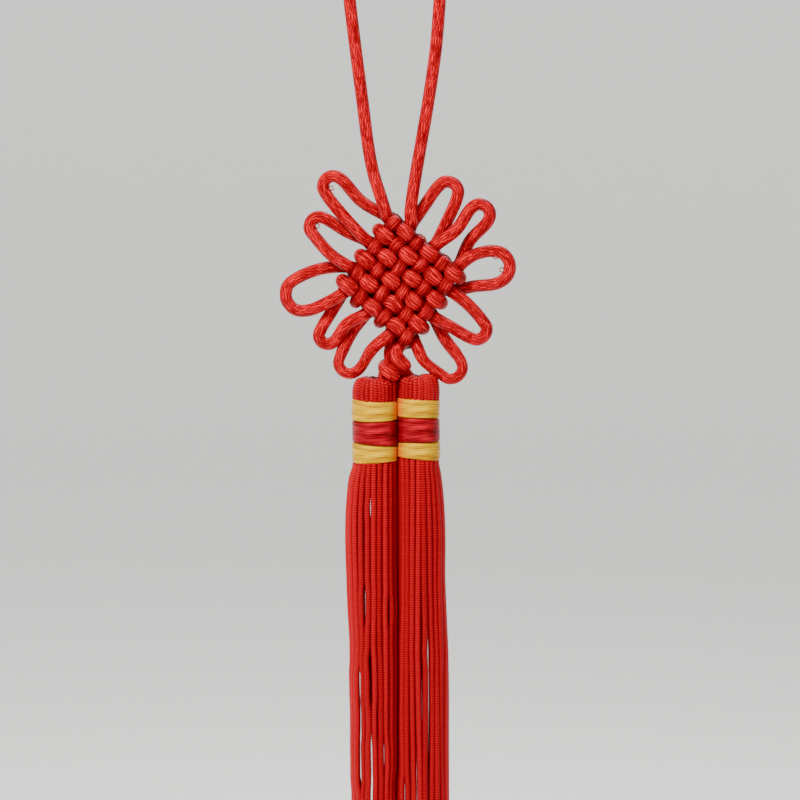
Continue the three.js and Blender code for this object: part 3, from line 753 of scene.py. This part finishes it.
def satin_cords(material):
    """The one cord that makes the hanging loop and, from each of its ends, half of the knot."""
    left = knot_points(LEFT_ENTRY, ("b", 1, "first"), -1, LEFT_EARS, LEFT_STEM)
    right = knot_points(RIGHT_ENTRY, ("a", 2, "first"), -1, RIGHT_EARS, RIGHT_STEM)
    path = smooth_route(left[::-1] + HANGING_ROUTE + right, CORD_STEP)
    rings, shade = pressed_rings(path)
    lengths = lengths_along(path)
    first = int(np.argmin(np.linalg.norm(path - HANGING_ROUTE[0], axis=1)))
    last = int(np.argmin(np.linalg.norm(path - HANGING_ROUTE[-1], axis=1)))
    parts = {
        "knot_cord_left": (0, first, "knot"),
        "hanging_loop": (first, last, "hanging_cord"),
        "knot_cord_right": (last, len(path) - 1, "knot"),
    }
    for name, (begin, stop, node) in parts.items():
        part = slice(begin, stop + 1)
        tube = {"rings": rings[part], "lengths": lengths[part], "tone_and_painted_light": shade[part], "capped": False}
        piece = mesh_piece(name, [tube], material, node)
    return path


def packed_middle(material):
    """The inside of the woven body, where the layers of cord press together, darkened with painted shade."""
    first, last = 1 - MIDDLE_REACH, LINES + MIDDLE_REACH
    row_count = 12
    sides = 24
    texture_length = 20.0
    rows = []
    for a in np.linspace(first, last, row_count):
        ring = []
        for angle in np.linspace(0.0, 2 * math.pi, sides, endpoint=False):
            b = (first + last) / 2 + (last - first) / 2 * math.cos(angle)
            depth = MIDDLE_DEPTH * np.sign(math.sin(angle)) * abs(math.sin(angle)) ** MIDDLE_SQUARENESS
            ring.append(lattice_point("a", a, b, depth))
        rows.append(ring)
    lengths = np.linspace(0.0, texture_length, row_count)
    tube = {"rings": np.array(rows), "lengths": lengths, "tone_and_painted_light": MIDDLE_SHADE}
    mesh_piece("knot_middle", [tube], material, "knot")


def pulled_loops(path, material):
    """Tiny loops of filament that stand out of the cord inside the ears."""
    tubes = []
    for x, z in PULLED_LOOPS:
        nearest = int(np.argmin(np.linalg.norm(path[:, [0, 2]] - (x, z), axis=1)))
        roots = path[nearest - 1], path[nearest + 2]
        tip = np.array([x, path[nearest][1] - PULL_FORWARD, z])
        twist = PULL_TWIST * (roots[1] - roots[0])
        points = [
            roots[0], (roots[0] + tip) / 2 + twist, tip + twist,
            tip - twist, (roots[1] + tip) / 2 - twist, roots[1],
        ]
        loop = smooth_route(points, FILAMENT_STEP)
        rings = tube_rings(loop, FILAMENT_RADIUS, FILAMENT_SIDES)
        tubes.append({"rings": rings, "lengths": lengths_along(loop), "tone_and_painted_light": 1.0})
    mesh_piece("pulled_loops", tubes, material)


# Tassels


def ribbed_strand(path, radius, tone_and_painted_light):
    """A thin cord whose rings are wide and narrow by turns. The path's step is half a rib."""
    ribs = radius - RIB_DEPTH * (np.arange(len(path)) % 2)
    return {"rings": tube_rings(path, ribs, STRAND_SIDES), "lengths": lengths_along(path), "tone_and_painted_light": tone_and_painted_light}


def pressed_across(name, offset):
    """How far a point lies across from its tassel's axis, once the tassels are pressed together."""
    return offset * np.where(offset * TASSELS[name]["inward"] > 0, INNER_PRESS, OUTER_PRESS)


def kept_off_seam(name, x, y, z, margin):
    """The two tassels meet in a surface that wanders a little, and neither crosses it."""
    seam = SEAM + SEAM_WANDER * np.sin(SEAM_WAVES["deep"] * y + SEAM_WAVES["down"] * z)
    if TASSELS[name]["inward"] > 0:
        return np.minimum(x, seam - SEAM_GAP / 2 - margin)
    return np.maximum(x, seam + SEAM_GAP / 2 + margin)


def head_strands(name):
    """Folded cords that come out of the top of the head, over its shoulder and down under the binding."""
    tassel = TASSELS[name]
    radius = tassel["radius"] - STRAND_RADIUS * HEAD_INSET
    height = tassel["top"] - tassel["bindings"][0][0]
    strands = []
    for k in range(HEAD_STRANDS):
        angle = 2 * math.pi * (k + 0.12 * rng.uniform(-1, 1)) / HEAD_STRANDS
        facing_seam = max(0.0, math.cos(angle) * tassel["inward"])
        start = 0.25 + 0.24 * (k % 3) / 2 + HEAD_UNEVENNESS * rng.uniform(-1, 1)
        lift = HEAD_UNEVENNESS * rng.uniform(-1, 1)
        # Reach from the axis and drop from the top, as shares of the head's radius and height
        reach_and_drop = [
            (start, 0.34),
            (start + 0.14, 0.09 + lift),
            (0.8 + 0.1 * facing_seam, 0.12 + lift),
            (0.94 + 0.06 * facing_seam, 0.28 - 0.14 * facing_seam),
            (1.0, 0.58 - 0.2 * facing_seam),
            (1.0, 0.9),
            (0.97, 1.2),
        ]
        points = []
        for reach, drop in reach_and_drop:
            swing = angle + 0.04 * math.sin(3 * reach + k)
            offset = radius * reach * math.cos(swing)
            y = radius * reach * math.sin(swing)
            z = tassel["top"] - height * drop + tassel["lean"] * offset / radius * (1 - min(drop, 1.0))
            free = tassel["axis"] + pressed_across(name, offset)
            x = kept_off_seam(name, free, y, z, STRAND_RADIUS * HEAD_SEAM_MARGIN)
            points.append((float(x), y, z))
        tone_and_painted_light = HEAD_TONE_AND_SHADE["least"] + HEAD_TONE_AND_SHADE["spread"] * rng.uniform()
        # Painted shade: strands that face the other tassel are darker
        tone_and_painted_light -= HEAD_TONE_AND_SHADE["painted_seam_shade"] * facing_seam
        path = smooth_route(points, RIB_PITCH / 2)
        strands.append(ribbed_strand(path, STRAND_RADIUS * HEAD_STRAND_SHARE, tone_and_painted_light))
    return strands


def parted(points, is_outer_ring):
    """Moves a strand's points away from the slits. Inner strands clear a slit altogether."""
    x, z = points[:, 0].copy(), points[:, 2]
    for across, top, bottom, width in SLITS:
        middle = np.interp(-(top + bottom) / 2, -z, x) - across
        below_top = np.clip((top + SLIT_OVERRUN - z) / SLIT_FADE, 0.0, 1.0)
        above_bottom = np.clip((z - bottom + SLIT_OVERRUN) / SLIT_FADE, 0.0, 1.0)
        side = 1.0 if middle >= 0 else -1.0
        if is_outer_ring:
            push = width * math.exp(-abs(middle) / SLIT_REACH)
        else:
            push = max(0.0, width / 2 + STRAND_RADIUS - abs(middle))
        x += side * push * np.sin(math.pi / 2 * below_top * above_bottom) ** 2
    return np.column_stack([x, points[:, 1], z])


def skirt_strand(name, ring_share, angle):
    """A strand from under the lowest binding to its cut end, drifting together with its neighbours."""
    tassel = TASSELS[name]
    top = tassel["bindings"][2][1]
    bound = tassel["radius"] - STRAND_RADIUS
    direction = (math.cos(angle), math.sin(angle))
    is_outward = direction[0] * tassel["inward"] < 0
    phases = rng.uniform(0, 2 * math.pi, 2)
    depth_shift = rng.uniform(-DEPTH_SPREAD, DEPTH_SPREAD)
    length = SKIRT_LENGTH + rng.uniform(-END_SPREAD, END_SPREAD)
    bound_x = abs(float(pressed_across(name, bound * direction[0]))) / max(abs(direction[0]), 1e-6)
    points = []
    for drop in STRAND_DROPS + [length]:
        reach = np.interp(drop, OUTLINE_DROPS, OUTER_REACH[name]) if is_outward else INNER_REACH[name]
        widen = np.interp(drop, WIDEN_DROPS, WIDEN_SHARES)
        reach_x = ring_share * ((1 - widen) * bound_x + widen * (reach - STRAND_RADIUS))
        reach_y = ring_share * ((1 - widen) * bound + widen * (SKIRT_DEPTH - STRAND_RADIUS))
        x = tassel["axis"] + direction[0] * reach_x
        y = direction[1] * reach_y
        loose = np.interp(drop, LOOSE_DROPS, LOOSE_SHARES)
        drift = sum(size * math.sin(across * x + drop / run) for size, across, run in SIDEWAYS_DRIFT)
        sway_x, sway_y = (size * math.sin(drop / run + phase)
                          for (size, run), phase in zip((SWAY_ACROSS, SWAY_DEEP), phases))
        points.append((x + loose * (drift + sway_x), y + loose * (depth_shift + sway_y), top - drop))
    path = parted(smooth_route(points, RIB_PITCH / 2), ring_share == 1.0)
    tone_and_painted_light = STRAND_TONE_AND_LIGHT["least"] + STRAND_TONE_AND_LIGHT["spread"] * rng.uniform()
    # Painted light: outer strands towards the tassel's far side are lighter, as if lit from the side
    tone_and_painted_light += STRAND_TONE_AND_LIGHT["painted_rim_light"] * ring_share * direction[0] ** 2 * is_outward
    return ribbed_strand(path, STRAND_RADIUS, tone_and_painted_light)


def even_angles(name, count):
    """Angles of strands that stand side by side round the skirt, which reaches further on its outer side."""
    angles = np.linspace(0.0, 2 * math.pi, 721)
    outward = np.cos(angles) * TASSELS[name]["inward"] < 0
    reach = np.where(outward, np.mean(OUTER_REACH[name][2:]), INNER_REACH[name]) - STRAND_RADIUS
    depth = SKIRT_DEPTH - STRAND_RADIUS
    around = lengths_along(np.column_stack([reach * np.cos(angles), depth * np.sin(angles)]))
    return np.interp((np.arange(count) + SKIRT_TURN[name]) / count * around[-1], around, angles)


def tassel_pieces(name, material):
    """A tassel's head with its packed core, and the outer and inner strands of its skirt."""
    node = f"tassel_{name}"
    outer = [skirt_strand(name, 1.0, angle) for angle in even_angles(name, OUTER_STRANDS)]
    inner = [skirt_strand(name, INNER_RING_SHARE, 2 * math.pi * (k + INNER_TURN) / INNER_STRANDS)
             for k in range(INNER_STRANDS)]
    mesh_piece(f"head_{name}", head_strands(name) + [neck_core(name)], material, node)
    mesh_piece(f"skirt_{name}_outer", outer, material, node)
    mesh_piece(f"skirt_{name}_inner", inner, material, node)


def neck_core(name):
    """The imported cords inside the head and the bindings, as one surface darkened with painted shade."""
    tassel = TASSELS[name]
    radius = tassel["radius"] - CORE_INSET
    top = tassel["top"] - CORE_DROP
    bottom = tassel["bindings"][2][1] - CORE_OVERRUN
    reach_and_height = [
        (0.2, top), (0.5, top - 0.1), (0.75, top - 0.8), (0.85, top - 2.2), (1.0, top - 3.6), (1.0, bottom),
    ]
    reach, z = np.array(reach_and_height).T[:, :, None]
    angles = np.linspace(0.0, 2 * math.pi, CORE_SIDES, endpoint=False)
    y = radius * reach * np.sin(angles)
    x = tassel["axis"] + pressed_across(name, radius * reach * np.cos(angles))
    rings = np.stack([kept_off_seam(name, x, y, z, 0.0), y, np.broadcast_to(z, y.shape)], axis=-1)
    return {"rings": rings, "lengths": top - z[:, 0], "tone_and_painted_light": CORE_SHADE}


def binding(name, place, index, material, turn_pitch):
    """Wound thread: round turns side by side that wander a little, drawn in at both edges."""
    tassel = TASSELS[name]
    top, bottom = tassel["bindings"][index]
    height = top - bottom + 2 * THREAD_LAP
    turns = int(round(height / turn_pitch))
    rows = turns * ROWS_PER_TURN + 1
    angles = np.linspace(0.0, 2 * math.pi, THREAD_SIDES, endpoint=False)
    level = np.linspace(0.0, 1.0, rows)[:, None]
    phases = rng.uniform(0, 2 * math.pi, 6)
    wander = TURN_WANDER[0] * np.sin(2 * angles + phases[0] + 9 * level)
    wander = wander + TURN_WANDER[1] * np.sin(3 * angles + phases[1] - 14 * level)
    crown = TURN_CROWN * np.sqrt(np.abs(np.sin(math.pi * (level * turns + wander))))
    lumps = LUMPS[0] * np.sin(angles + phases[2] + 3 * level) + LUMPS[1] * np.sin(3 * angles + phases[3])
    edge = np.minimum(level, 1 - level) * height
    drawn_in = EDGE_ROUNDING * np.clip(1 - edge / EDGE_ROUNDING, 0, 1) ** 2
    radius = tassel["radius"] - THREAD_INSET + crown + lumps - drawn_in
    dip = EDGE_DIP[0] * np.sin(angles + phases[4]) + EDGE_DIP[1] * np.sin(2 * angles + phases[5])
    dip = dip * (1 - 2 * np.abs(level - 0.5)) * EDGE_DIP_SHARE
    tilt = (1 - level) * tassel["tilts"][index] + level * tassel["tilts"][index + 1]
    edge_wave = EDGE_WAVE * np.sin(2 * angles + 0.6 * index + tassel["axis"])
    z = top + THREAD_LAP - level * height + dip + tilt * np.cos(angles) + edge_wave
    y = radius * np.sin(angles)
    free = tassel["axis"] + pressed_across(name, radius * np.cos(angles))
    x = kept_off_seam(name, free, y, z, 0.0)
    rings = np.stack([x, y, z], axis=-1)
    tucked = rings[[-1, 0]].copy()
    tucked[..., 0] = tassel["axis"] + (tucked[..., 0] - tassel["axis"]) * TUCKED_SHARE
    tucked[..., 1] *= TUCKED_SHARE
    rings = np.concatenate([tucked[1:], rings, tucked[:1]])
    # Painted red reflection or shade, strongest where the two tassels meet
    seam_distance = np.abs(rings[..., 0] - SEAM)
    lengths = np.linspace(0.0, height, rows)
    tube = {
        "rings": rings,
        "lengths": np.concatenate([[-TUCKED_LENGTH], lengths, [height + TUCKED_LENGTH]]),
        "tone_and_painted_light": PAINTED_SEAM_SHARE * np.clip(1 - seam_distance / PAINTED_SEAM_REACH, 0.0, 1.0),
        "capped": False,
    }
    mesh_piece(f"thread_{name}_{place}", [tube], material, f"binding_{name}_{place}")


# Whole object

camera()
stage()
lights()

satin_cord = braided_cord_material()
tassel_cord = tassel_cord_material()
yellow_thread = thread_material(
    "yellow_thread",
    stops=[(0.38, (0.27, 0.10, 0.0)), (0.5, (0.50, 0.26, 0.0)), (0.62, (0.76, 0.45, 0.0))],
    painted_seam_colour=(0.55, 0.04, 0.0), roughness=0.32, gloss_tint=(1.0, 0.55, 0.03),
)
red_thread = thread_material(
    "red_thread",
    stops=[(0.38, (0.06, 0.0002, 0.0015)), (0.5, (0.21, 0.0005, 0.006)), (0.62, (0.50, 0.003, 0.016))],
    painted_seam_colour=(0.09, 0.0002, 0.001), roughness=0.30, gloss_tint=(1.0, 0.12, 0.10),
)

cord_path = satin_cords(satin_cord)
packed_middle(satin_cord)
pulled_loops(cord_path, satin_cord)
for tassel_name in TASSELS:
    tassel_pieces(tassel_name, tassel_cord)
    binding(tassel_name, "upper", 0, yellow_thread, 0.36)
    binding(tassel_name, "middle", 1, red_thread, 0.42)
    binding(tassel_name, "lower", 2, yellow_thread, 0.36)
